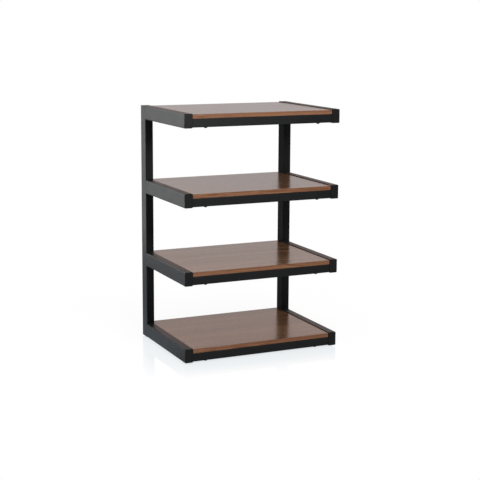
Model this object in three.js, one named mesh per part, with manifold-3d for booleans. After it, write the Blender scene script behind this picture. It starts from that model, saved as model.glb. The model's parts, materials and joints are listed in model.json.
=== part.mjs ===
// Four-tier equipment rack. Two steel side frames, each a rear post with four arms,
// carry four boards on rails. Four levelling feet screw into the frames.
// Millimetres, +Z up, the front faces -Y, and the origin is on the floor under the middle of the rack.

import * as THREE from 'three';
import { mergeVertices } from 'three/addons/utils/BufferGeometryUtils.js';
import Module from 'manifold-3d';

// Rack
const rackWidth = 600;
const rackDepth = 430;
const tierPitch = 274;
const tierNames = ['bottom', 'lower', 'upper', 'top'];
const footStandOff = 4; // from the floor to the underside of the frames

// Faces that rest on each other
const seatGap = 0.3;

// Frame tube, used for the posts and the arms
const frameTubeWidth = 30;
const frameTubeDepth = 50;
const frameTubeWall = 2;
const frameTubeRadius = 3;

// Rail tube
const railTubeHeight = 30;
const railTubeDepth = 20;
const railTubeWall = 1.5;
const railTubeRadius = 2;
const railSetback = 1; // behind the front of the arms, and in front of the back of the posts
const railEndGap = 1;

// Stubs on the frames that the rails slide over
const stubBeyondBolt = 12; // from the centre of the shelf bolt to the free end
const stubWall = 2;
const stubRadius = 1.5;
const stubFit = 0.5;

// Boards
const boardThickness = 15;
const boardDrop = 2.5; // from the top of the arms down to the top of the board
const boardSetback = 1;
const boardSideGap = 1;

// Shelf bolts, which go up through rail and stub into the board
const boltRadius = 3;
const boltLength = 40;
const boltInset = 52; // from the inner face of the frame
const boltHoleFit = 0.3;
const boltHoleSpare = 1;
const boltFlangeRadius = 6.8;
const boltFlangeThickness = 1;
const boltHeadRadius = 5.2;
const boltCrownRadius = 3.2;
const boltHeadHeight = 3.3;
const boltSocketRadius = 2.3;
const boltSocketDepth = 1.8;

// Plastic caps in the open ends of the frame tube
const capPlate = 2;
const capPlugLength = 14;
const capPlugWall = 2;
const capPlugFit = 0.3;

// Levelling feet
const footInset = 30; // from the front of the rack to the centre of a front foot
const stemRadius = 4;
const stemLength = 26;
const stemFit = 0.4;
const footNutRadius = 7.5;
const footNutHeight = 6.5;
const footPlugLength = 18;
const footPlugBossRadius = 7;
const footPadRadius = 10;
const footPadGroove = 0.9;
const footPadLobes = 12;
const footPadSocketDepth = 2.2;

// How finely round shapes are cut up
const cornerSteps = 1;
const boltSides = 12;
const stemSides = 16;
const hexSides = 6;

// Spare length of a cutting tool beyond the face it cuts
const cutOverrun = 1;

// Finishes
const frameFinish = { color: 0x232426, roughness: 0.5, metalness: 0.2 };
const boardFinish = { color: 0x70503c, roughness: 0.4, metalness: 0 };
const capFinish = { color: 0x1e1f21, roughness: 0.6, metalness: 0 };
const boltFinish = { color: 0x18191b, roughness: 0.4, metalness: 0.8 };
const steelFinish = { color: 0x9b9ea1, roughness: 0.35, metalness: 1 };
const padFinish = { color: 0x17181a, roughness: 0.8, metalness: 0 };

// Places that several pieces share
const frontY = -rackDepth / 2;
const backY = rackDepth / 2;
const frameCentreX = (rackWidth - frameTubeWidth) / 2;
const frameInnerX = rackWidth / 2 - frameTubeWidth;
const postCentreY = backY - frameTubeDepth / 2;
const postFrontY = backY - frameTubeDepth;
const boltX = frameInnerX - boltInset;
const railY = { front: frontY + railSetback + railTubeDepth / 2, rear: backY - railSetback - railTubeDepth / 2 };
const sideSign = { left: -1, right: 1 };

// Heights measured down from the top of a tier's arms
const boardBottomDrop = boardDrop + boardThickness;
const railCentreDrop = boardBottomDrop + seatGap + railTubeHeight / 2;
const railBottomDrop = railCentreDrop + railTubeHeight / 2;
const armCentreDrop = frameTubeDepth / 2;

const armTopOf = (tier) => footStandOff + frameTubeDepth + tier * tierPitch;
const frameTopZ = armTopOf(tierNames.length - 1);

const wasm = await Module();
wasm.setup();

function toSolid(geometry) {
  const bare = geometry.clone();
  bare.deleteAttribute('normal');
  bare.deleteAttribute('uv');
  const merged = mergeVertices(bare);
  const index = merged.index.array;
  const triangles = [];
  for (let i = 0; i < index.length; i += 3) {
    const [a, b, c] = [index[i], index[i + 1], index[i + 2]];
    if (a !== b && b !== c && c !== a) triangles.push(a, b, c);
  }
  const vertProperties = new Float32Array(merged.attributes.position.array);
  const triVerts = new Uint32Array(triangles);
  return new wasm.Manifold(new wasm.Mesh({ numProp: 3, vertProperties, triVerts }));
}

function toGeometry(solid) {
  const mesh = solid.getMesh();
  const indexed = new THREE.BufferGeometry();
  indexed.setAttribute('position', new THREE.BufferAttribute(mesh.vertProperties, mesh.numProp));
  indexed.setIndex(new THREE.BufferAttribute(mesh.triVerts, 1));
  const geometry = indexed.toNonIndexed();
  geometry.computeVertexNormals();
  return geometry;
}

// The first shape joined with the added ones, with the cutters taken away
function shaped(first, added, cutters) {
  let solid = toSolid(first);
  for (const geometry of added) solid = solid.add(toSolid(geometry));
  for (const geometry of cutters) solid = solid.subtract(toSolid(geometry));
  return toGeometry(solid);
}

function roundedRectangle(path, width, height, radius) {
  const x = width / 2 - radius;
  const y = height / 2 - radius;
  path.absarc(x, -y, radius, -Math.PI / 2, 0, false);
  path.absarc(x, y, radius, 0, Math.PI / 2, false);
  path.absarc(-x, y, radius, Math.PI / 2, Math.PI, false);
  path.absarc(-x, -y, radius, Math.PI, Math.PI * 1.5, false);
  return path;
}

// A bar along +Z from the origin, solid without a wall and hollow with one
function bar(width, height, radius, length, wall = 0) {
  const shape = roundedRectangle(new THREE.Shape(), width, height, radius);
  if (wall > 0) {
    const innerRadius = Math.max(radius - wall, wall / 4);
    shape.holes.push(roundedRectangle(new THREE.Path(), width - 2 * wall, height - 2 * wall, innerRadius));
  }
  return new THREE.ExtrudeGeometry(shape, { depth: length, bevelEnabled: false, curveSegments: cornerSteps });
}

// A round or many-sided rod along +Z from the origin
function rod(radius, length, sides) {
  const geometry = new THREE.CylinderGeometry(radius, radius, length, sides);
  return geometry.rotateX(Math.PI / 2).translate(0, 0, length / 2);
}

// Stub that stands out of a frame tube's inner face, at a height and a depth on that tube
function stub(inward, y, z) {
  const height = railTubeHeight - 2 * (railTubeWall + stubFit);
  const depth = railTubeDepth - 2 * (railTubeWall + stubFit);
  const rooted = frameTubeWall / 2;
  const geometry = bar(height, depth, stubRadius, rooted + boltInset + stubBeyondBolt, stubWall);
  geometry.rotateY(inward * Math.PI / 2);
  return geometry.translate(inward * (frameTubeWidth / 2 - rooted), y, z);
}

// Upright cutter for a shelf bolt's hole, centred on a rail
function boltHole(x, y, z) {
  const length = railTubeHeight + 2 * cutOverrun;
  return rod(boltRadius + boltHoleFit, length, boltSides).translate(x, y, z - length / 2);
}

// Post, standing on its lower end, with one stub for each rear rail
const postBottomZ = footStandOff + capPlate + seatGap;

function post(side) {
  const inward = -sideSign[side];
  const length = frameTopZ - capPlate - seatGap - postBottomZ;
  const tube = bar(frameTubeWidth, frameTubeDepth, frameTubeRadius, length, frameTubeWall);
  const y = railY.rear - postCentreY;
  const holeX = inward * (frameTubeWidth / 2 + boltInset);
  const heights = tierNames.map((name, tier) => armTopOf(tier) - railCentreDrop - postBottomZ);
  const stubs = heights.map((z) => stub(inward, y, z));
  const holes = heights.map((z) => boltHole(holeX, y, z));
  return shaped(tube, stubs, holes);
}

// Arm, running back from its front end, with one stub for the front rail
const armFrontY = frontY + capPlate + seatGap;
const armLength = postFrontY - seatGap - armFrontY;

function arm(side, tier) {
  const inward = -sideSign[side];
  const tube = bar(frameTubeWidth, frameTubeDepth, frameTubeRadius, armLength, frameTubeWall);
  tube.rotateX(-Math.PI / 2);
  const y = railY.front - armFrontY;
  const z = armCentreDrop - railCentreDrop;
  const holes = [boltHole(inward * (frameTubeWidth / 2 + boltInset), y, z)];
  if (tier === 0) {
    const length = frameTubeWall + 2 * cutOverrun;
    const hole = rod(stemRadius + stemFit, length, stemSides);
    holes.push(hole.translate(0, frontY + footInset - armFrontY, -frameTubeDepth / 2 - cutOverrun));
  }
  return shaped(tube, [stub(inward, y, z)], holes);
}

// Plug for an open end of the frame tube: a plate outside, a hollow shank inside.
// The plate's outer face looks up, and its seat on the tube is at the origin.
function tubePlug(plugLength, bossRadius, boreRadius) {
  const plate = bar(frameTubeWidth, frameTubeDepth, frameTubeRadius, capPlate);
  const rooted = capPlate / 2;
  const side = 2 * (frameTubeWall + capPlugFit);
  const radius = frameTubeRadius - frameTubeWall;
  const shank = bar(frameTubeWidth - side, frameTubeDepth - side, radius, plugLength + rooted, capPlugWall);
  const added = [shank.translate(0, 0, -plugLength)];
  const cutters = [];
  if (bossRadius > 0) {
    added.push(rod(bossRadius, plugLength + rooted, stemSides).translate(0, 0, -plugLength));
    const boreLength = plugLength + capPlate + 2 * cutOverrun;
    cutters.push(rod(boreRadius, boreLength, stemSides).translate(0, 0, -plugLength - cutOverrun));
  }
  return shaped(plate, added, cutters);
}

// Rail, centred on the origin, with a hole through it for each shelf bolt
function rail() {
  const length = 2 * (frameInnerX - railEndGap);
  const tube = bar(railTubeHeight, railTubeDepth, railTubeRadius, length, railTubeWall);
  tube.translate(0, 0, -length / 2).rotateY(Math.PI / 2);
  return shaped(tube, [], [boltHole(-boltX, 0, 0), boltHole(boltX, 0, 0)]);
}

// Board, its underside at the origin, with a blind hole for each shelf bolt
function board() {
  const width = 2 * (frameInnerX - boardSideGap);
  const depth = rackDepth - 2 * boardSetback;
  const slab = new THREE.BoxGeometry(width, depth, boardThickness).translate(0, 0, boardThickness / 2);
  const holeDepth = boltLength - railTubeHeight - 2 * seatGap + boltHoleSpare;
  const holes = [];
  for (const x of [-boltX, boltX]) {
    for (const y of [railY.front, railY.rear]) {
      const hole = rod(boltRadius + boltHoleFit, holeDepth + cutOverrun, boltSides);
      holes.push(hole.translate(x, y, -cutOverrun));
    }
  }
  return shaped(slab, [], holes);
}

// Shelf bolt, shank up, with the seat of its head at the origin
function shelfBolt() {
  const outline = [
    [0, -boltHeadHeight],
    [boltCrownRadius, -boltHeadHeight],
    [boltHeadRadius, -boltFlangeThickness],
    [boltFlangeRadius, -boltFlangeThickness],
    [boltFlangeRadius, 0],
    [boltRadius, 0],
    [boltRadius, boltLength],
    [0, boltLength],
  ];
  const turned = new THREE.LatheGeometry(outline.map(([r, y]) => new THREE.Vector2(r, y)), boltSides);
  const socket = rod(boltSocketRadius, boltSocketDepth + cutOverrun, hexSides);
  socket.translate(0, 0, -boltHeadHeight - cutOverrun);
  return shaped(turned.rotateX(Math.PI / 2), [], [socket]);
}

// Welded nut inside a bottom arm, its lower face at the origin
function footNut() {
  const hole = rod(stemRadius + stemFit, footNutHeight + 2 * cutOverrun, stemSides);
  return shaped(rod(footNutRadius, footNutHeight, hexSides), [], [hole.translate(0, 0, -cutOverrun)]);
}

// Foot pad, its sole at the origin, with finger grooves round its rim and a socket for the stem
const footPadHeight = footStandOff - seatGap;

function footPad() {
  const points = [];
  for (let i = 0; i < 2 * footPadLobes; i += 1) {
    const angle = (i * Math.PI) / footPadLobes;
    const radius = i % 2 === 0 ? footPadRadius : footPadRadius - footPadGroove;
    points.push(new THREE.Vector2(radius * Math.cos(angle), radius * Math.sin(angle)));
  }
  const disc = new THREE.ExtrudeGeometry(new THREE.Shape(points), { depth: footPadHeight, bevelEnabled: false });
  const socket = rod(stemRadius + stemFit, footPadSocketDepth + cutOverrun, stemSides);
  return shaped(disc, [], [socket.translate(0, 0, footPadHeight - footPadSocketDepth)]);
}

// Assembly
const rack = new THREE.Group();

function place(parent, name, geometry, finish, x, y, z) {
  const mesh = new THREE.Mesh(geometry, new THREE.MeshStandardMaterial(finish));
  mesh.name = name;
  mesh.position.set(x, y, z);
  parent.add(mesh);
  return mesh;
}

function groupAt(x, y, z) {
  const group = new THREE.Group();
  group.position.set(x, y, z);
  rack.add(group);
  return group;
}

for (const [side, sign] of Object.entries(sideSign)) {
  const frame = groupAt(sign * frameCentreX, 0, 0);
  place(frame, `${side}_post`, post(side), frameFinish, 0, postCentreY, postBottomZ);
  const cap = tubePlug(capPlugLength, 0, 0);
  place(frame, `${side}_post_cap`, cap, capFinish, 0, postCentreY, frameTopZ - capPlate);
  tierNames.forEach((tierName, tier) => {
    const z = armTopOf(tier) - armCentreDrop;
    place(frame, `${side}_${tierName}_arm`, arm(side, tier), frameFinish, 0, armFrontY, z);
    const endCap = place(frame, `${side}_${tierName}_arm_cap`, cap, capFinish, 0, frontY + capPlate, z);
    endCap.rotation.x = Math.PI / 2;
  });
}

tierNames.forEach((tierName, tier) => {
  const shelf = groupAt(0, 0, armTopOf(tier));
  place(shelf, `${tierName}_shelf`, board(), boardFinish, 0, 0, -boardBottomDrop);
  for (const [end, y] of Object.entries(railY)) {
    place(shelf, `${tierName}_${end}_rail`, rail(), frameFinish, 0, y, -railCentreDrop);
    for (const [side, sign] of Object.entries(sideSign)) {
      const name = `${tierName}_${end}_${side}_shelf_bolt`;
      place(shelf, name, shelfBolt(), boltFinish, sign * boltX, y, -railBottomDrop - seatGap);
    }
  }
});

const footY = { front: frontY + footInset, rear: postCentreY };
const stemBottomZ = footPadHeight - footPadSocketDepth + seatGap;

for (const [end, y] of Object.entries(footY)) {
  for (const [side, sign] of Object.entries(sideSign)) {
    const foot = groupAt(sign * frameCentreX, y, 0);
    const name = `${end}_${side}_foot`;
    if (end === 'front') {
      place(foot, `${name}_nut`, footNut(), steelFinish, 0, 0, footStandOff + frameTubeWall + seatGap);
    } else {
      const plug = tubePlug(footPlugLength, footPlugBossRadius, stemRadius + stemFit);
      place(foot, `${name}_plug`, plug, capFinish, 0, 0, footStandOff + capPlate).rotation.x = Math.PI;
    }
    place(foot, `${name}_stem`, rod(stemRadius, stemLength, stemSides), steelFinish, 0, 0, stemBottomZ);
    place(foot, `${name}_pad`, footPad(), padFinish, 0, 0, 0);
  }
}

export default rack;
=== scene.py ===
"""Looks of the equipment rack: finishes, softened edges, edge bands, welds, threads, camera and studio.

Metres, +Z up, the front faces -Y. Places on the rack are worked out from the frame's own nodes.
"""
import json
import math

import bmesh
import bpy
from mathutils import Matrix, Vector


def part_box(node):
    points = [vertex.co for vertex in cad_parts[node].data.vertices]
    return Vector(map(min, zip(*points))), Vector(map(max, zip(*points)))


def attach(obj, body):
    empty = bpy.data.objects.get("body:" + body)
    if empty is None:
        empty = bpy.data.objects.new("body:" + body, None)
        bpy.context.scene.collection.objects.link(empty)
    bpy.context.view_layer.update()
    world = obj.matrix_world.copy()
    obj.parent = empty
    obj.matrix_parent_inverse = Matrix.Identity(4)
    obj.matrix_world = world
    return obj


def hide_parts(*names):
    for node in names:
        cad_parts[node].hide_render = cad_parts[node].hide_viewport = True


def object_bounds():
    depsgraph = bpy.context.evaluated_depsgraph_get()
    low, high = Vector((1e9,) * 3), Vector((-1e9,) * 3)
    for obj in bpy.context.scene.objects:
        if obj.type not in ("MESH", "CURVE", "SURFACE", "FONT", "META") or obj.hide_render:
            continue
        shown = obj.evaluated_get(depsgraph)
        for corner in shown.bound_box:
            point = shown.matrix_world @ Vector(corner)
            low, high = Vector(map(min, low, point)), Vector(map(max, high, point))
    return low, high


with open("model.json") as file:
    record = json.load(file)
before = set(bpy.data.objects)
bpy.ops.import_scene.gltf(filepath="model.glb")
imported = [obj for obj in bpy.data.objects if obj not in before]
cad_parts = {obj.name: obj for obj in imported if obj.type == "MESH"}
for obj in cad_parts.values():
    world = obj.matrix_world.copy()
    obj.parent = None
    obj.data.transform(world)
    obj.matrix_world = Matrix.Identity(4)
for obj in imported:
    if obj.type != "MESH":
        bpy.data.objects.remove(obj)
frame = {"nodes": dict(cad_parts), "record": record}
cad_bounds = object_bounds()

MM = 0.001
TIERS = ("bottom", "lower", "upper", "top")
SIDES = {"left": -1, "right": 1}
ENDS = ("front", "rear")

# Frame tube, as wide as the cap on a post
CAP_LOW, CAP_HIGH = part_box("left_post_cap")
TUBE_WIDTH = CAP_HIGH.x - CAP_LOW.x
TUBE_RADIUS = 3 * MM

# Softened edges: width and segments
TUBE_EDGE = (0.9 * MM, 3)
CAP_EDGE = (0.5 * MM, 3)
SMALL_EDGE = (0.3 * MM, 2)
MERGE_REACH = 0.01 * MM
FLAT_ANGLE = math.radians(1)
EDGE_ANGLE = math.radians(25)
SMOOTH_ANGLE = math.radians(30)

# Steps in an arc, from large rounds to small ones
ROUND_STEPS = 6
PAD_ROUND_STEPS = 4
SMALL_ROUND_STEPS = 3

# Boards
BAND_THICKNESS = 1.2 * MM
BAND_ROUNDING = 0.5 * MM
SEAM_ROUNDING = 0.15 * MM
ROUNDING_SEGMENTS = 4
ROUND_PROFILE = 0.5
HOLE_FIT = 0.3 * MM
HOLE_SPARE = 1 * MM

# Welds between arms and posts. A bead thins to a share of its leg at its ends, by a slope per bead length
WELD_LEG = 2.6 * MM
WELD_END_SHARE = 0.45
WELD_END_SLOPE = 5
WELD_FULLNESS = 1.5
WELD_RIPPLE = 0.18 * MM
WELD_RIPPLE_PITCH = 1.8 * MM
WELD_RIPPLE_STEPS = 6
WELD_SINK = 0.4 * MM
SEAM_INSET = 0.15 * MM
SEAM_REACH = 1.3 * MM
END_MARGIN = 0.5 * MM

# Shelf bolts
BOLT_SIDES = 48
BOLT_FLANGE = 1.0 * MM
BOLT_FLANGE_ROUNDING = 0.3 * MM
BOLT_SHOULDER_RADIUS = 5.2 * MM
BOLT_CROWN_RADIUS = 3.2 * MM
BOLT_SHANK_RADIUS = 3.0 * MM
BOLT_SOCKET_SIDES = 6
BOLT_SOCKET_RADIUS = 2.3 * MM
BOLT_SOCKET_DEPTH = 1.8 * MM
BOLT_SOCKET_CHAMFER = 0.3 * MM
BOLT_SOCKET_SPARE = 1 * MM
BOLT_HEAD_HEIGHT = 3.3 * MM
BOLT_THREAD_LENGTH = 18 * MM
BOLT_THREAD_PITCH = 1.0 * MM
BOLT_THREAD_DEPTH = 0.55 * MM

# Foot stems, and any thread's drop from crest to root over one turn and the digits of a height that tell
# its points apart
STEM_THREAD_PITCH = 1.25 * MM
STEM_THREAD_DEPTH = 0.7 * MM
THREAD_SIDES = 32
THREAD_FORM_SHARES = (0, 0, 1 / 3, 2 / 3, 1, 1, 2 / 3, 1 / 3)
THREAD_KEY_DIGITS = 5

# Foot pads
PAD_SIDES = 144
PAD_LOBES = 12
PAD_GROOVE = 0.9 * MM
PAD_ROUNDING = 0.6 * MM
PAD_LIP = 0.3 * MM
SOCKET_FIT = 0.4 * MM
SOCKET_CHAMFER = 0.3 * MM
SOLE_THICKNESS = 0.8 * MM
SOLE_INSET = 1.8 * MM
SOLE_FIT = 0.1 * MM
SOLE_ROUNDING = 0.2 * MM


# Meshes

def new_piece(name, mesh, body, material, place=None):
    """A new object on a body, with its finish. Its flat faces shade flat."""
    piece = bpy.data.objects.new(name, mesh)
    bpy.context.scene.collection.objects.link(piece)
    if place is not None:
        piece.matrix_world = place
    if not mesh.materials:
        mesh.materials.append(material)
    normals = piece.modifiers.new("normals", "WEIGHTED_NORMAL")
    normals.keep_sharp = True
    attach(piece, body)
    return piece


def mesh_from(bm, name):
    mesh = bpy.data.meshes.new(name)
    bmesh.ops.recalc_face_normals(bm, faces=bm.faces)
    bm.to_mesh(mesh)
    bm.free()
    return mesh


def smooth_mesh_from(bm, name):
    mesh = mesh_from(bm, name)
    shade_smooth(mesh)
    return mesh


def shade_smooth(mesh):
    mesh.shade_smooth()
    mesh.set_sharp_from_angle(angle=SMOOTH_ANGLE)


def join_rings(bm, rings):
    """Faces between rings of as many points. A ring of one point is a tip."""
    for a, b in zip(rings, rings[1:]):
        sides = max(len(a), len(b))
        for i in range(sides):
            j = (i + 1) % sides
            if len(a) == 1:
                bm.faces.new((a[0], b[j], b[i]))
            elif len(b) == 1:
                bm.faces.new((a[i], a[j], b[0]))
            else:
                bm.faces.new((a[i], a[j], b[j], b[i]))


def turned(bm, outline, sides, lobes=0):
    """Adds a solid of revolution about Z. The outline's first and last points lie on the axis.

    A point is (radius, height), or (radius, height, groove) where the radius dips between lobes.
    """
    rings = []
    for radius, z, *groove in outline:
        if radius == 0:
            rings.append([bm.verts.new((0, 0, z))])
            continue
        dip = groove[0] / 2 if groove else 0
        ring = []
        for i in range(sides):
            turn = 2 * math.pi * i / sides
            here = radius - dip * (1 - math.cos(lobes * turn))
            ring.append(bm.verts.new((here * math.cos(turn), here * math.sin(turn), z)))
        rings.append(ring)
    join_rings(bm, rings)


def bend(centre, across, along, start, end, steps=ROUND_STEPS, extra=()):
    """Outline points on part of an ellipse, between two angles in degrees."""
    points = []
    for i in range(steps + 1):
        turn = math.radians(start + (end - start) * i / steps)
        points.append((centre[0] + across * math.cos(turn), centre[1] + along * math.sin(turn), *extra))
    return points


def thread(bm, radius, depth, pitch, low, high):
    """Adds a rod on the Z axis with a thread of one start and chamfered ends."""
    steps = len(THREAD_FORM_SHARES)
    rows = math.ceil((high - low) / pitch * steps) + 1
    made = {}

    def key_of(i, z):
        return i, round(z / MM, THREAD_KEY_DIGITS)

    def drop(z, i):
        place = ((z - low) / pitch - i / THREAD_SIDES) % 1 * steps
        k = int(place) % steps
        a, b = THREAD_FORM_SHARES[k], THREAD_FORM_SHARES[(k + 1) % steps]
        return depth * (a + (b - a) * (place - int(place)))

    def point(i, j):
        z = min(max(low + pitch * (j / steps + i / THREAD_SIDES), low), high)
        i %= THREAD_SIDES
        key = key_of(i, z)
        if key not in made:
            turn = 2 * math.pi * i / THREAD_SIDES
            here = min(radius - drop(z, i), radius - depth + min(z - low, high - z))
            made[key] = bm.verts.new((here * math.cos(turn), here * math.sin(turn), z))
        return made[key]

    for j in range(-steps, rows):
        for i in range(THREAD_SIDES):
            corners = (point(i, j), point(i + 1, j), point(i + 1, j + 1), point(i, j + 1))
            corners = list(dict.fromkeys(corners))
            if len(corners) > 2:
                bm.faces.new(corners)
    for z in (low, high):
        bm.faces.new([made[key_of(i, z)] for i in range(THREAD_SIDES)])


def cut_away(mesh, cutters):
    """The mesh with the cutters' meshes taken away."""
    holder = bpy.data.objects.new("cut_holder", mesh)
    bpy.context.scene.collection.objects.link(holder)
    tools = []
    for cutter in cutters:
        tool = bpy.data.objects.new("cut_tool", cutter)
        bpy.context.scene.collection.objects.link(tool)
        change = holder.modifiers.new("cut", "BOOLEAN")
        change.operation = "DIFFERENCE"
        change.solver = "EXACT"
        change.object = tool
        tools.append(tool)
    seen = holder.evaluated_get(bpy.context.evaluated_depsgraph_get())
    made = bpy.data.meshes.new_from_object(seen)
    for spare in [holder, *tools]:
        bpy.data.objects.remove(spare)
    return made


# Node trees

def tree_of(owner):
    owner.use_nodes = True
    return owner.node_tree


def add_node(tree, kind, inputs=None, **settings):
    """Adds a node. An input is a value, or another node's output to link."""
    made = tree.nodes.new(kind)
    for name, value in settings.items():
        setattr(made, name, value)
    for name, value in (inputs or {}).items():
        if isinstance(value, bpy.types.NodeSocket):
            tree.links.new(value, made.inputs[name])
        else:
            made.inputs[name].default_value = value
    return made


def new_finish(name):
    material = bpy.data.materials.new(name)
    tree = tree_of(material)
    shader = tree.nodes["Principled BSDF"]
    place = add_node(tree, "ShaderNodeTexCoord").outputs["Object"]
    return material, tree, shader, place


def stretched(tree, place, scale):
    return add_node(tree, "ShaderNodeMapping", {"Vector": place, "Scale": scale}).outputs["Vector"]


def noise(tree, place, scale, detail=2.0, roughness=0.5, distortion=0.0):
    inputs = {
        "Vector": place, "Scale": scale, "Detail": detail, "Roughness": roughness, "Distortion": distortion,
    }
    return add_node(tree, "ShaderNodeTexNoise", inputs).outputs["Fac"]


def grain(tree, place, along, across, *settings):
    """Noise drawn out along X, by its cycles per metre along and across the grain."""
    return noise(tree, stretched(tree, place, (along, across, across)), 1.0, *settings)


def ranged(tree, value, low, high, from_low=0.0, from_high=1.0, kind="LINEAR"):
    inputs = {"Value": value, "From Min": from_low, "From Max": from_high, "To Min": low, "To Max": high}
    return add_node(tree, "ShaderNodeMapRange", inputs, interpolation_type=kind).outputs["Result"]


def maths(tree, operation, *values):
    return add_node(tree, "ShaderNodeMath", dict(enumerate(values)), operation=operation).outputs["Value"]


def vector_maths(tree, operation, *values, output="Vector"):
    made = add_node(tree, "ShaderNodeVectorMath", dict(enumerate(values)), operation=operation)
    return made.outputs[output]


def scaled(tree, vector, scale):
    inputs = {0: vector, "Scale": scale}
    return add_node(tree, "ShaderNodeVectorMath", inputs, operation="SCALE").outputs["Vector"]


def mixed(tree, factor, a, b):
    made = add_node(tree, "ShaderNodeMix", data_type="RGBA")
    for name, value in (("Factor", factor), ("A", a), ("B", b)):
        socket = next(s for s in made.inputs if s.name == name and s.enabled)
        if isinstance(value, bpy.types.NodeSocket):
            tree.links.new(value, socket)
        else:
            socket.default_value = value
    return next(s for s in made.outputs if s.enabled)


def toned(tree, value, stops):
    """A colour ramp through stops of (share, tone), in rising order."""
    ramp = add_node(tree, "ShaderNodeValToRGB", {"Fac": value})
    elements = ramp.color_ramp.elements
    elements[0].position = stops[0][0]
    elements[1].position = stops[-1][0]
    for share, _ in stops[1:-1]:
        elements.new(share)
    for element, (_, tone) in zip(elements, stops):
        element.color = tone
    return ramp.outputs["Color"]


def bumped(tree, shader, height, distance=1.0, strength=1.0):
    bump = add_node(tree, "ShaderNodeBump", {"Height": height, "Distance": distance, "Strength": strength})
    tree.links.new(bump.outputs["Normal"], shader.inputs["Normal"])


def grey(value, blue=1.0):
    return (value, value, value * blue, 1.0)


# Finishes. Scales are in cycles per metre, and a bump is a distance and a strength

COAT_TONES = ((0.0072, 0.0078, 0.0087, 1), (0.0108, 0.0115, 0.0126, 1))
COAT_ROUGHNESS = (0.45, 0.53)
COAT_IOR = 1.35
COAT_CLOUD_SCALE = 14.0
COAT_CLOUD_DETAIL = 3.0
COAT_PEEL_SCALE = 420.0
COAT_GRAIN_SCALE = 1900.0
COAT_BUMP = (0.02 * MM, 0.6)


def powder_coat():
    """Satin black powder coat with a faint orange peel."""
    material, tree, shader, place = new_finish("powder_coat")
    clouds = noise(tree, place, COAT_CLOUD_SCALE, COAT_CLOUD_DETAIL)
    peel = noise(tree, place, COAT_PEEL_SCALE)
    specks = noise(tree, place, COAT_GRAIN_SCALE)
    tree.links.new(mixed(tree, clouds, *COAT_TONES), shader.inputs["Base Color"])
    tree.links.new(ranged(tree, clouds, *COAT_ROUGHNESS), shader.inputs["Roughness"])
    bumped(tree, shader, maths(tree, "ADD", peel, specks), *COAT_BUMP)
    shader.inputs["IOR"].default_value = COAT_IOR
    return material


PLASTIC_TONES = (grey(0.0080, 1.06), grey(0.0105, 1.06))
PLASTIC_ROUGHNESS = (0.42, 0.54)
PLASTIC_IOR = 1.34
PLASTIC_CLOUD_SCALE = 30.0
PLASTIC_SPARK_SCALE = 1500.0
PLASTIC_BUMP = (0.03 * MM, 0.5)


def moulded_plastic():
    """Black plastic with the fine spark texture of a mould."""
    material, tree, shader, place = new_finish("moulded_plastic")
    inputs = {"Vector": place, "Scale": PLASTIC_SPARK_SCALE}
    sparks = add_node(tree, "ShaderNodeTexVoronoi", inputs).outputs["Distance"]
    clouds = noise(tree, place, PLASTIC_CLOUD_SCALE)
    tree.links.new(mixed(tree, clouds, *PLASTIC_TONES), shader.inputs["Base Color"])
    tree.links.new(ranged(tree, clouds, *PLASTIC_ROUGHNESS), shader.inputs["Roughness"])
    bumped(tree, shader, sparks, *PLASTIC_BUMP)
    shader.inputs["IOR"].default_value = PLASTIC_IOR
    return material


ZINC_LINE_SCALE = (120.0, 120.0, 4000.0)
ZINC_LINE_DETAIL = 3.0
ZINC_CLOUD_SCALE = 180.0
ZINC_CLOUD_DETAIL = 4.0
ZINC_BUMP = (0.01 * MM, 0.4)
BLACK_ZINC_TONES = (grey(0.030), grey(0.055))
BRIGHT_ZINC_TONES = (grey(0.50, 1.02), grey(0.66, 1.02))


def plated_steel(name, tones, roughness):
    """Zinc-plated steel with fine drawn lines round its axis."""
    material, tree, shader, place = new_finish(name)
    lines = noise(tree, stretched(tree, place, ZINC_LINE_SCALE), 1.0, ZINC_LINE_DETAIL)
    clouds = noise(tree, place, ZINC_CLOUD_SCALE, ZINC_CLOUD_DETAIL)
    tree.links.new(mixed(tree, clouds, *tones), shader.inputs["Base Color"])
    tree.links.new(ranged(tree, lines, *roughness), shader.inputs["Roughness"])
    bumped(tree, shader, lines, *ZINC_BUMP)
    shader.inputs["Metallic"].default_value = 1.0
    return material


FELT_TONES = (grey(0.05), grey(0.12))
FELT_ROUGHNESS = 0.95
# Scale, detail, roughness and distortion
FELT_FIBRES = (2600.0, 5.0, 0.7, 1.5)
FELT_BUMP = (0.2 * MM, 0.8)


def felt():
    """Pressed grey felt."""
    material, tree, shader, place = new_finish("felt")
    fibres = noise(tree, place, *FELT_FIBRES)
    tree.links.new(mixed(tree, fibres, *FELT_TONES), shader.inputs["Base Color"])
    shader.inputs["Roughness"].default_value = FELT_ROUGHNESS
    bumped(tree, shader, fibres, *FELT_BUMP)
    return material


# Cycles per metre along and across the grain, then detail, roughness and distortion
DRIFT = (2.2, 5.0, 2.0)
LINES = (5.0, 330.0, 3.0, 0.6)
PORES = (60.0, 2000.0, 1.0)
# For the streaks the cycles across differ from wood to wood
STREAK_ALONG = 1.3
STREAK_SETTINGS = (4.0, 0.55, 0.3)
DRIFT_REACH = 0.03
LINE_SHARE = 0.34
GRAIN_RAMP_SHARES = (0.38, 0.50, 0.62)
PORE_RANGE = (0.32, 0.42)
PORE_TONE_SHARE = 0.4
PORE_DEPTH = 0.0075 * MM
ROUGHNESS_BELOW = 0.03
ROUGHNESS_ABOVE = 0.05
BOARD_TONES = ((0.106, 0.048, 0.023, 1), (0.156, 0.075, 0.037, 1), (0.216, 0.110, 0.058, 1))
BAND_TONES = ((0.180, 0.073, 0.034, 1), (0.236, 0.104, 0.053, 1), (0.302, 0.145, 0.077, 1))


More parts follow.
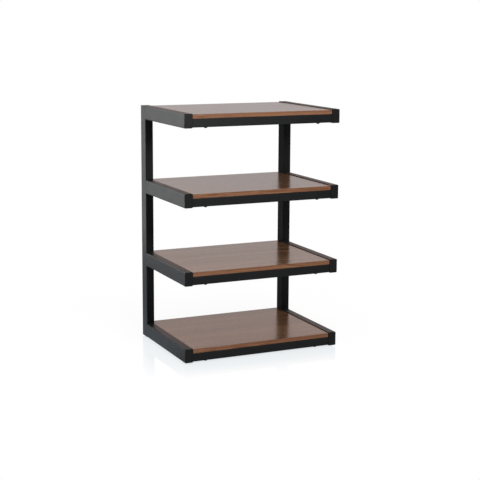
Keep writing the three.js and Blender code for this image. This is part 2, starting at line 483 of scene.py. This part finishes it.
def walnut(name, tones, streaks_across, roughness, pore_share, ior, wave=0.0):
    """Walnut with its grain along X: broad streaks, fine lines and short open pores.

    The surface rises and falls with the streaks, by the wave at most.
    """
    material, tree, shader, place = new_finish(name)
    drift = ranged(tree, grain(tree, place, *DRIFT), -DRIFT_REACH, DRIFT_REACH)
    sideways = add_node(tree, "ShaderNodeCombineXYZ", {"Y": drift}).outputs["Vector"]
    place = vector_maths(tree, "ADD", place, sideways)
    streaks = grain(tree, place, STREAK_ALONG, streaks_across, *STREAK_SETTINGS)
    lines = grain(tree, place, *LINES)
    open_pores = ranged(tree, grain(tree, place, *PORES), 1.0, 0.0, *PORE_RANGE)
    broad = maths(tree, "MULTIPLY", streaks, 1 - LINE_SHARE)
    shade = maths(tree, "MULTIPLY_ADD", lines, LINE_SHARE, broad)
    wood = toned(tree, shade, list(zip(GRAIN_RAMP_SHARES, tones)))
    deep = (*(PORE_TONE_SHARE * value for value in tones[0][:3]), 1)
    colour = mixed(tree, ranged(tree, open_pores, 0.0, pore_share), wood, deep)
    tree.links.new(colour, shader.inputs["Base Color"])
    smooth, rough = roughness - ROUGHNESS_BELOW, roughness + ROUGHNESS_ABOVE
    tree.links.new(ranged(tree, lines, smooth, rough), shader.inputs["Roughness"])
    dents = maths(tree, "MULTIPLY", open_pores, -PORE_DEPTH)
    bumped(tree, shader, maths(tree, "MULTIPLY_ADD", streaks, wave, dents))
    shader.inputs["IOR"].default_value = ior
    return material


COAT = powder_coat()
PLASTIC = moulded_plastic()
BLACK_ZINC = plated_steel("black_zinc", BLACK_ZINC_TONES, roughness=(0.28, 0.42))
BRIGHT_ZINC = plated_steel("bright_zinc", BRIGHT_ZINC_TONES, roughness=(0.22, 0.38))
FELT = felt()
BOARD = walnut("walnut_laminate", BOARD_TONES, streaks_across=26.0, roughness=0.20, pore_share=0.6, ior=1.31,
               wave=0.5 * MM)
BAND = walnut("walnut_edge_band", BAND_TONES, streaks_across=200.0, roughness=0.42, pore_share=0.35, ior=1.3)

SLOT_FINISHES = {
    "frame_steel": (COAT, TUBE_EDGE),
    "cap_plastic": (PLASTIC, CAP_EDGE),
    "foot_steel": (BRIGHT_ZINC, SMALL_EDGE),
}


# Nodes that stay as they are, with a finish and softened edges

def soften(piece, width, segments):
    weld = piece.modifiers.new("weld", "WELD")
    weld.merge_threshold = MERGE_REACH
    flat = piece.modifiers.new("flat", "DECIMATE")
    flat.decimate_type = "DISSOLVE"
    flat.angle_limit = FLAT_ANGLE
    bevel = piece.modifiers.new("bevel", "BEVEL")
    bevel.width = width
    bevel.segments = segments
    bevel.limit_method = "ANGLE"
    bevel.angle_limit = EDGE_ANGLE
    bevel.harden_normals = True


def dress_nodes():
    for part in frame["record"]["subparts"]:
        if part["material_slot"] in SLOT_FINISHES:
            finish, edge = SLOT_FINISHES[part["material_slot"]]
            piece = frame["nodes"][part["node"]]
            piece.data.materials.clear()
            piece.data.materials.append(finish)
            soften(piece, *edge)


# Boards: a laminated core between four edge bands

def rounded_block(name, low, high, rounding):
    bm = bmesh.new()
    corners = bmesh.ops.create_cube(bm, size=1.0)["verts"]
    bmesh.ops.scale(bm, vec=high - low, verts=corners)
    bmesh.ops.translate(bm, vec=(low + high) / 2, verts=corners)
    bmesh.ops.bevel(bm, geom=bm.edges[:], offset=rounding, segments=ROUNDING_SEGMENTS, profile=ROUND_PROFILE,
                    affect="EDGES")
    return smooth_mesh_from(bm, name)


def bolt_hole(tier, end, side):
    low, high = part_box(f"{tier}_{end}_{side}_shelf_bolt")
    centre = (low + high) / 2
    radius = BOLT_SHANK_RADIUS + HOLE_FIT
    top = high.z + HOLE_SPARE
    bm = bmesh.new()
    turned(bm, [(0, low.z), (radius, low.z), (radius, top), (0, top)], BOLT_SIDES)
    bmesh.ops.translate(bm, vec=(centre.x, centre.y, 0), verts=bm.verts)
    return mesh_from(bm, "hole")


def dress_board(tier):
    node = f"{tier}_shelf"
    low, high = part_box(node)
    inset = Vector((BAND_THICKNESS, BAND_THICKNESS, 0))
    core = rounded_block(f"{node}_core", low + inset, high - inset, SEAM_ROUNDING)
    core = cut_away(core, [bolt_hole(tier, end, side) for end in ENDS for side in SIDES])
    shade_smooth(core)
    piece = new_piece(f"{node}_core", core, "root", BOARD)
    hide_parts(node)
    across = Vector((0, BAND_THICKNESS, 0))
    bands = {
        "front": (low, Vector((high.x, low.y + BAND_THICKNESS, high.z))),
        "rear": (Vector((low.x, high.y - BAND_THICKNESS, low.z)), high),
        "left": (low + across, Vector((low.x + BAND_THICKNESS, high.y, high.z)) - across),
        "right": (Vector((high.x - BAND_THICKNESS, low.y, low.z)) + across, high - across),
    }
    for name, corners in bands.items():
        mesh = rounded_block(f"{node}_{name}_band", *corners, BAND_ROUNDING)
        new_piece(f"{node}_{name}_band", mesh, "root", BAND)


# Shelf bolts: button heads on a flange, with a hexagon socket and a threaded end

def bolt_head(radius, seat):
    """The head about the Z axis, with its crown at the origin."""
    shoulder = seat - BOLT_FLANGE
    across = BOLT_SHOULDER_RADIUS - BOLT_CROWN_RADIUS
    edge = BOLT_FLANGE_ROUNDING
    outline = [(0, 0)]
    outline += bend((BOLT_CROWN_RADIUS, shoulder), across, shoulder, -90, 0)
    outline += bend((radius - edge, shoulder + edge), edge, edge, -90, 0, SMALL_ROUND_STEPS)
    outline += bend((radius - edge, seat - edge), edge, edge, 0, 90, SMALL_ROUND_STEPS)
    outline += [(0, seat)]
    bm = bmesh.new()
    turned(bm, outline, BOLT_SIDES)
    head = mesh_from(bm, "bolt_head")

    wide, deep, spare = BOLT_SOCKET_RADIUS, BOLT_SOCKET_DEPTH, BOLT_SOCKET_SPARE
    bm = bmesh.new()
    turned(bm, [(0, -spare), (wide, -spare), (wide, deep), (0, deep)], BOLT_SOCKET_SIDES)
    socket = mesh_from(bm, "bolt_socket")

    slope = BOLT_SOCKET_CHAMFER
    bm = bmesh.new()
    turned(bm, [(0, -slope), (wide + slope, -slope), (wide - slope, slope), (0, slope)], BOLT_SIDES)
    return cut_away(head, [socket, mesh_from(bm, "bolt_socket_mouth")])


def bolt_mesh(radius, length):
    """A whole shelf bolt about the Z axis, with its crown at the origin and its tip at the length."""
    bm = bmesh.new()
    bm.from_mesh(bolt_head(radius, BOLT_HEAD_HEIGHT))
    root = BOLT_HEAD_HEIGHT - BOLT_FLANGE / 2
    neck = length - BOLT_THREAD_LENGTH
    turned(bm, [(0, root), (BOLT_SHANK_RADIUS, root), (BOLT_SHANK_RADIUS, neck), (0, neck)], BOLT_SIDES)
    start = neck - BOLT_THREAD_PITCH
    thread(bm, BOLT_SHANK_RADIUS, BOLT_THREAD_DEPTH, BOLT_THREAD_PITCH, start, length)
    mesh = smooth_mesh_from(bm, "shelf_bolt")
    mesh.materials.append(BLACK_ZINC)
    return mesh


def dress_bolts():
    low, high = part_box("top_front_left_shelf_bolt")
    mesh = bolt_mesh((high.x - low.x) / 2, high.z - low.z)
    for tier in TIERS:
        for end in ENDS:
            for side in SIDES:
                node = f"{tier}_{end}_{side}_shelf_bolt"
                low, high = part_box(node)
                place = Matrix.Translation(((low.x + high.x) / 2, (low.y + high.y) / 2, low.z))
                piece = new_piece(f"{node}_finished", mesh, "root", BLACK_ZINC, place)
                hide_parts(node)


# Welds: a ground seam at each side of a joint, and a bead where the post passes the arm

def seam(bm, outside, inward, arm_end, post_face, low, high):
    """An upright filler in the groove between an arm's end and the post's rounded corner."""
    x = outside + inward * SEAM_INSET
    deep = outside + inward * (TUBE_RADIUS + WELD_SINK)
    section = [
        (x, arm_end - SEAM_REACH),
        (x, post_face + TUBE_RADIUS + WELD_SINK),
        (deep, post_face + WELD_SINK),
        (deep, arm_end - WELD_SINK),
    ]
    rings = [[bm.verts.new((px, py, z)) for px, py in section] for z in (low, high)]
    join_rings(bm, rings)
    for ring in rings:
        bm.faces.new(ring)


def bead(bm, start, end, post_face, height, up):
    """A rippled fillet along X, between an arm's flat and the post's face.

    up is 1 above the arm and -1 below it.
    """
    steps = math.ceil((end - start) / WELD_RIPPLE_PITCH * WELD_RIPPLE_STEPS)
    rings = []
    for k in range(steps + 1):
        share = k / steps
        x = start + (end - start) * share
        swell = min(1, WELD_END_SHARE + WELD_END_SLOPE * min(share, 1 - share))
        leg = WELD_LEG * swell + WELD_RIPPLE * math.sin(2 * math.pi * (x - start) / WELD_RIPPLE_PITCH)
        section = [(-leg, -WELD_SINK)]
        for i in range(ROUND_STEPS + 1):
            turn = math.pi / 2 * i / ROUND_STEPS
            section.append((-leg * math.cos(turn) ** WELD_FULLNESS, leg * math.sin(turn) ** WELD_FULLNESS))
        section += [(WELD_SINK, leg), (WELD_SINK, -WELD_SINK)]
        rings.append([bm.verts.new((x, post_face + y, height + up * z)) for y, z in section])
    join_rings(bm, rings)
    bm.faces.new(rings[0])
    bm.faces.new(rings[-1])


def dress_joint(side, tier):
    arm_low, arm_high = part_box(f"{side}_{tier}_arm")
    post_low, post_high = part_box(f"{side}_post")
    outer = SIDES[side] * cad_bounds[1].x
    left, right = sorted((outer, outer - SIDES[side] * TUBE_WIDTH))
    low = max(arm_low.z, post_low.z) + END_MARGIN
    high = min(arm_high.z, post_high.z) - END_MARGIN
    bm = bmesh.new()
    seam(bm, left, 1, arm_high.y, post_low.y, low, high)
    seam(bm, right, -1, arm_high.y, post_low.y, low, high)
    start, end = left + TUBE_RADIUS, right - TUBE_RADIUS
    if post_high.z > arm_high.z:
        bead(bm, start, end, post_low.y, arm_high.z, 1)
    if arm_low.z - post_low.z > WELD_LEG:
        bead(bm, start, end, post_low.y, arm_low.z, -1)
    name = f"{side}_{tier}_arm_weld"
    new_piece(name, smooth_mesh_from(bm, name), "root", COAT)


# Feet: a threaded stem, a pad with finger grooves, and a felt sole

def dress_foot(name):
    stem_low, stem_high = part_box(f"{name}_stem")
    pad_low, pad_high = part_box(f"{name}_pad")
    centre = (stem_low + stem_high) / 2
    place = Matrix.Translation((centre.x, centre.y, 0))
    radius = (stem_high.x - stem_low.x) / 2

    bm = bmesh.new()
    thread(bm, radius, STEM_THREAD_DEPTH, STEM_THREAD_PITCH, stem_low.z, stem_high.z)
    mesh = smooth_mesh_from(bm, f"{name}_stem_thread")
    stem = new_piece(f"{name}_stem_thread", mesh, f"{name}_stem", BRIGHT_ZINC, place)
    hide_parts(f"{name}_stem")

    rim = (pad_high.x - pad_low.x) / 2
    lip, top = pad_low.z + PAD_LIP, pad_high.z
    recess = pad_low.z + SOLE_THICKNESS
    socket = radius + SOCKET_FIT
    floor = stem_low.z - SOCKET_CHAMFER
    sole = rim - SOLE_INSET
    edge = PAD_ROUNDING
    outline = [(0, recess), (sole, recess), (sole, lip)]
    outline += bend((rim - edge, lip + edge), edge, edge, -90, 0, PAD_ROUND_STEPS, (PAD_GROOVE,))
    outline += bend((rim - edge, top - edge), edge, edge, 0, 90, PAD_ROUND_STEPS, (PAD_GROOVE,))
    outline += [(socket + SOCKET_CHAMFER, top), (socket, top - SOCKET_CHAMFER), (socket, floor), (0, floor)]
    bm = bmesh.new()
    turned(bm, outline, PAD_SIDES, PAD_LOBES)
    mesh = smooth_mesh_from(bm, f"{name}_pad_disc")
    pad = new_piece(f"{name}_pad_disc", mesh, f"{name}_pad", PLASTIC, place)
    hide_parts(f"{name}_pad")

    flat, edge = sole - SOLE_FIT, SOLE_ROUNDING
    outline = [(0, pad_low.z)]
    outline += bend((flat - edge, pad_low.z + edge), edge, edge, -90, 0, SMALL_ROUND_STEPS)
    outline += [(flat, recess - SOLE_FIT), (0, recess - SOLE_FIT)]
    bm = bmesh.new()
    turned(bm, outline, PAD_SIDES)
    mesh = smooth_mesh_from(bm, f"{name}_sole")
    new_piece(f"{name}_sole", mesh, f"{name}_pad", FELT, place)


def dress_rack():
    dress_nodes()
    for tier in TIERS:
        dress_board(tier)
        for side in SIDES:
            dress_joint(side, tier)
    dress_bolts()
    for end in ENDS:
        for side in SIDES:
            dress_foot(f"{end}_{side}_foot")


# Camera, with its lens shifted so that its axis meets the picture at a row of pixels

CAMERA_PLACE = Vector((-1.8196, -3.9545, 1.2051))
CAMERA_YAW = math.radians(24.8)
CAMERA_PITCH = math.radians(9.44)
CAMERA_ROLL = math.radians(0.27)
FRAME_PIXELS = 480
FOCAL_PIXELS = 1194.7
AXIS_ROW = 214.0
SENSOR_WIDTH = 36.0


def make_camera():
    data = bpy.data.cameras.new("camera")
    data.sensor_width = SENSOR_WIDTH
    data.lens = FOCAL_PIXELS / FRAME_PIXELS * SENSOR_WIDTH
    data.shift_y = (AXIS_ROW - FRAME_PIXELS / 2) / FRAME_PIXELS
    camera = bpy.data.objects.new("camera", data)
    bpy.context.scene.collection.objects.link(camera)
    forward = Vector((
        math.sin(CAMERA_YAW) * math.cos(CAMERA_PITCH),
        math.cos(CAMERA_YAW) * math.cos(CAMERA_PITCH),
        -math.sin(CAMERA_PITCH),
    ))
    level = Vector((math.cos(CAMERA_YAW), -math.sin(CAMERA_YAW), 0))
    upright = level.cross(forward)
    right = math.cos(CAMERA_ROLL) * level + math.sin(CAMERA_ROLL) * upright
    up = right.cross(forward)
    turn = Matrix((right, up, -forward)).transposed()
    camera.matrix_world = Matrix.Translation(CAMERA_PLACE) @ turn.to_4x4()
    bpy.context.scene.camera = camera


# Studio. In reflections the world is a room with a window at the back right. A height is a direction's Z

WHITE = grey(1.0)
AMBIENT = grey(0.4)
WINDOW_DIRECTION = (0.6, 0.8, 0.0)
WINDOW_EDGE = (0.62, 0.88)
WINDOW_TONES = ((0.64, 0.68, 0.72, 1), (1.32, 1.01, 0.90, 1))
WINDOW_HEIGHTS = (0.08, 0.35)
ROOM_TONE = 0.05
CEILING_TONE = 0.8
CEILING_HEIGHTS = (0.3, 0.9)

FLOOR_RADIUS = 3.0
FLOOR_SEGMENTS = 96
FLOOR_TONE = grey(0.9)
FLOOR_SHADOW = 0.12
SHADOW_GAIN = 1.6
SHADOW_REACH = 0.9
FLOOR_MIRROR = (0.155, 0.125, 0.105)
MIRROR_REACH = 0.27

# The floor in reflections is a painted glow, not the lit floor: a pale bluish tone beside the rack on the
# left, painted shade behind its middle, and a plain grey everywhere else
LEFT_TONE_IN_GLOSS = (0.72, 0.79, 0.88, 1)
MIDDLE_SHADE_IN_GLOSS = grey(0.14)
FLOOR_TONE_IN_GLOSS = grey(0.36)
FLOOR_ASIDE = (0.91, 0.42, 0.0)
FLOOR_ASIDE_REACH = 1.0
FLOOR_ASIDE_SHARES = (0.42, 0.50, 0.80, 0.95)
FLOOR_FRONT_EDGE = (-0.25, 0.05)

# Lamps: place, aim, size, watts and spread in degrees
LAMPS = {
    "top_softbox": ((-0.4, 0.0, 2.6), (0.0, 0.0, 0.4), (1.6, 1.6), 4.0, 180),
    "left_softbox": ((-0.87, 0.98, 0.78), (-0.63, 0.10, 0.60), (0.75, 1.25), 2.15, 75),
    "front_softbox": ((-0.5, -2.2, 2.0), (0.0, -0.1, 0.45), (1.2, 1.0), 11.0, 180),
    "low_softbox": ((0.0, -1.5, 1.22), (-0.28, -0.1, 0.8), (0.3, 0.3), 8.5, 180),
    "right_softbox": ((2.6, 0.2, 0.6), (0.0, 0.0, 0.45), (1.6, 1.4), 12.0, 180),
}


def seen_by(tree, rays, names):
    """1 for rays of the named kinds, 0 for the rest."""
    value = rays.outputs[names[0]]
    for name in names[1:]:
        value = maths(tree, "MAXIMUM", value, rays.outputs[name])
    return value


def make_world():
    """White for the camera, plain grey as light, and the room with its window in the rack's reflections."""
    world = bpy.data.worlds.new("studio")
    bpy.context.scene.world = world
    world.cycles.sampling_method = "NONE"
    tree = tree_of(world)
    direction = add_node(tree, "ShaderNodeTexCoord").outputs["Generated"]
    towards = vector_maths(tree, "DOT_PRODUCT", direction, WINDOW_DIRECTION, output="Value")
    height = add_node(tree, "ShaderNodeSeparateXYZ", {"Vector": direction}).outputs["Z"]
    window = mixed(tree, ranged(tree, height, 0.0, 1.0, *WINDOW_HEIGHTS), *WINDOW_TONES)
    ceiling = ranged(tree, height, ROOM_TONE, CEILING_TONE, *CEILING_HEIGHTS, "SMOOTHSTEP")
    share = ranged(tree, towards, 0.0, 1.0, *WINDOW_EDGE, "SMOOTHSTEP")
    room = mixed(tree, share, ceiling, window)
    rays = add_node(tree, "ShaderNodeLightPath")
    colour = mixed(tree, rays.outputs["Is Glossy Ray"], AMBIENT, room)
    white = seen_by(tree, rays, ("Is Camera Ray", "Is Transmission Ray", "Is Singular Ray"))
    colour = mixed(tree, white, colour, WHITE)
    tree.links.new(colour, tree.nodes["Background"].inputs["Color"])


def from_footprint(tree, place):
    """Distance on the floor from the rack's outline."""
    half = (cad_bounds[1].x, cad_bounds[1].y, 0)
    beside = vector_maths(tree, "ABSOLUTE", place)
    beside = vector_maths(tree, "SUBTRACT", beside, half)
    beside = vector_maths(tree, "MAXIMUM", beside, (0, 0, 0))
    return vector_maths(tree, "LENGTH", beside, output="Value")


def floor_in_gloss(tree, place):
    """The floor's tone in the rack's reflections: a painted glow, with painted shade behind the rack's
    middle.
    """
    aside = vector_maths(tree, "DOT_PRODUCT", place, FLOOR_ASIDE, output="Value")
    share = ranged(tree, aside, 0.0, 1.0, -FLOOR_ASIDE_REACH, FLOOR_ASIDE_REACH)
    tones = (LEFT_TONE_IN_GLOSS, MIDDLE_SHADE_IN_GLOSS, MIDDLE_SHADE_IN_GLOSS, FLOOR_TONE_IN_GLOSS)
    back = toned(tree, share, list(zip(FLOOR_ASIDE_SHARES, tones)))
    depth = add_node(tree, "ShaderNodeSeparateXYZ", {"Vector": place}).outputs["Y"]
    behind = ranged(tree, depth, 0.0, 1.0, *FLOOR_FRONT_EDGE, "SMOOTHSTEP")
    return mixed(tree, behind, FLOOR_TONE_IN_GLOSS, back)


def floor_finish():
    """White for the camera, with a soft shadow and a faint mirror image that fade away from the rack."""
    material = bpy.data.materials.new("pale_floor")
    tree = tree_of(material)
    tree.nodes.remove(tree.nodes["Principled BSDF"])
    place = add_node(tree, "ShaderNodeTexCoord").outputs["Object"]
    away = from_footprint(tree, place)
    mirror = scaled(tree, FLOOR_MIRROR, ranged(tree, away, 1.0, 0.0, 0.0, MIRROR_REACH, "SMOOTHSTEP"))
    shadow = scaled(tree, (1, 1, 1), ranged(tree, away, FLOOR_SHADOW, 0.0, 0.0, SHADOW_REACH, "SMOOTHSTEP"))
    left = vector_maths(tree, "SUBTRACT", (1, 1, 1), mirror)
    left = vector_maths(tree, "SUBTRACT", left, shadow)

    glow = add_node(tree, "ShaderNodeEmission", {"Color": left}).outputs[0]
    image = add_node(tree, "ShaderNodeBsdfGlossy", {"Color": mirror, "Roughness": 0.0}).outputs[0]
    shade = add_node(tree, "ShaderNodeBsdfDiffuse", {"Color": scaled(tree, shadow, SHADOW_GAIN)}).outputs[0]
    shown = add_node(tree, "ShaderNodeAddShader", {0: glow, 1: image}).outputs[0]
    shown = add_node(tree, "ShaderNodeAddShader", {0: shown, 1: shade}).outputs[0]

    rays = add_node(tree, "ShaderNodeLightPath")
    gloss = seen_by(tree, rays, ("Is Glossy Ray", "Is Transmission Ray"))
    plain = add_node(tree, "ShaderNodeBsdfDiffuse", {"Color": FLOOR_TONE}).outputs[0]
    # In reflections the floor glows with painted tones and painted shade in place of its own lit look
    painted_floor_glow = add_node(tree, "ShaderNodeEmission", {"Color": floor_in_gloss(tree, place)}).outputs[0]
    other = add_node(tree, "ShaderNodeMixShader", {0: gloss, 1: plain, 2: painted_floor_glow}).outputs[0]
    both = add_node(tree, "ShaderNodeMixShader", {0: rays.outputs["Is Camera Ray"], 1: other, 2: shown})
    tree.links.new(both.outputs[0], tree.nodes["Material Output"].inputs["Surface"])
    return material


def make_floor():
    bm = bmesh.new()
    bmesh.ops.create_circle(bm, cap_ends=True, radius=FLOOR_RADIUS, segments=FLOOR_SEGMENTS)
    mesh = mesh_from(bm, "floor")
    mesh.materials.append(floor_finish())
    floor = bpy.data.objects.new("floor", mesh)
    bpy.context.scene.collection.objects.link(floor)


def make_lamp(name, place, aim, size, power, spread):
    """An area lamp that shows neither to the camera nor in the floor's mirror image."""
    data = bpy.data.lights.new(name, "AREA")
    data.shape = "RECTANGLE"
    data.size, data.size_y = size
    data.energy = power
    data.spread = math.radians(spread)
    tree = tree_of(data)
    mirrored = add_node(tree, "ShaderNodeLightPath").outputs["Is Singular Ray"]
    tree.links.new(maths(tree, "SUBTRACT", 1.0, mirrored), tree.nodes["Emission"].inputs["Strength"])
    lamp = bpy.data.objects.new(name, data)
    bpy.context.scene.collection.objects.link(lamp)
    lamp.location = place
    lamp.rotation_mode = "QUATERNION"
    lamp.rotation_quaternion = (Vector(aim) - Vector(place)).to_track_quat("-Z", "Y")
    lamp.visible_camera = False


dress_rack()
make_camera()
make_world()
make_floor()
for lamp_name, settings in LAMPS.items():
    make_lamp(lamp_name, *settings)

bpy.context.scene.view_settings.view_transform = "Standard"
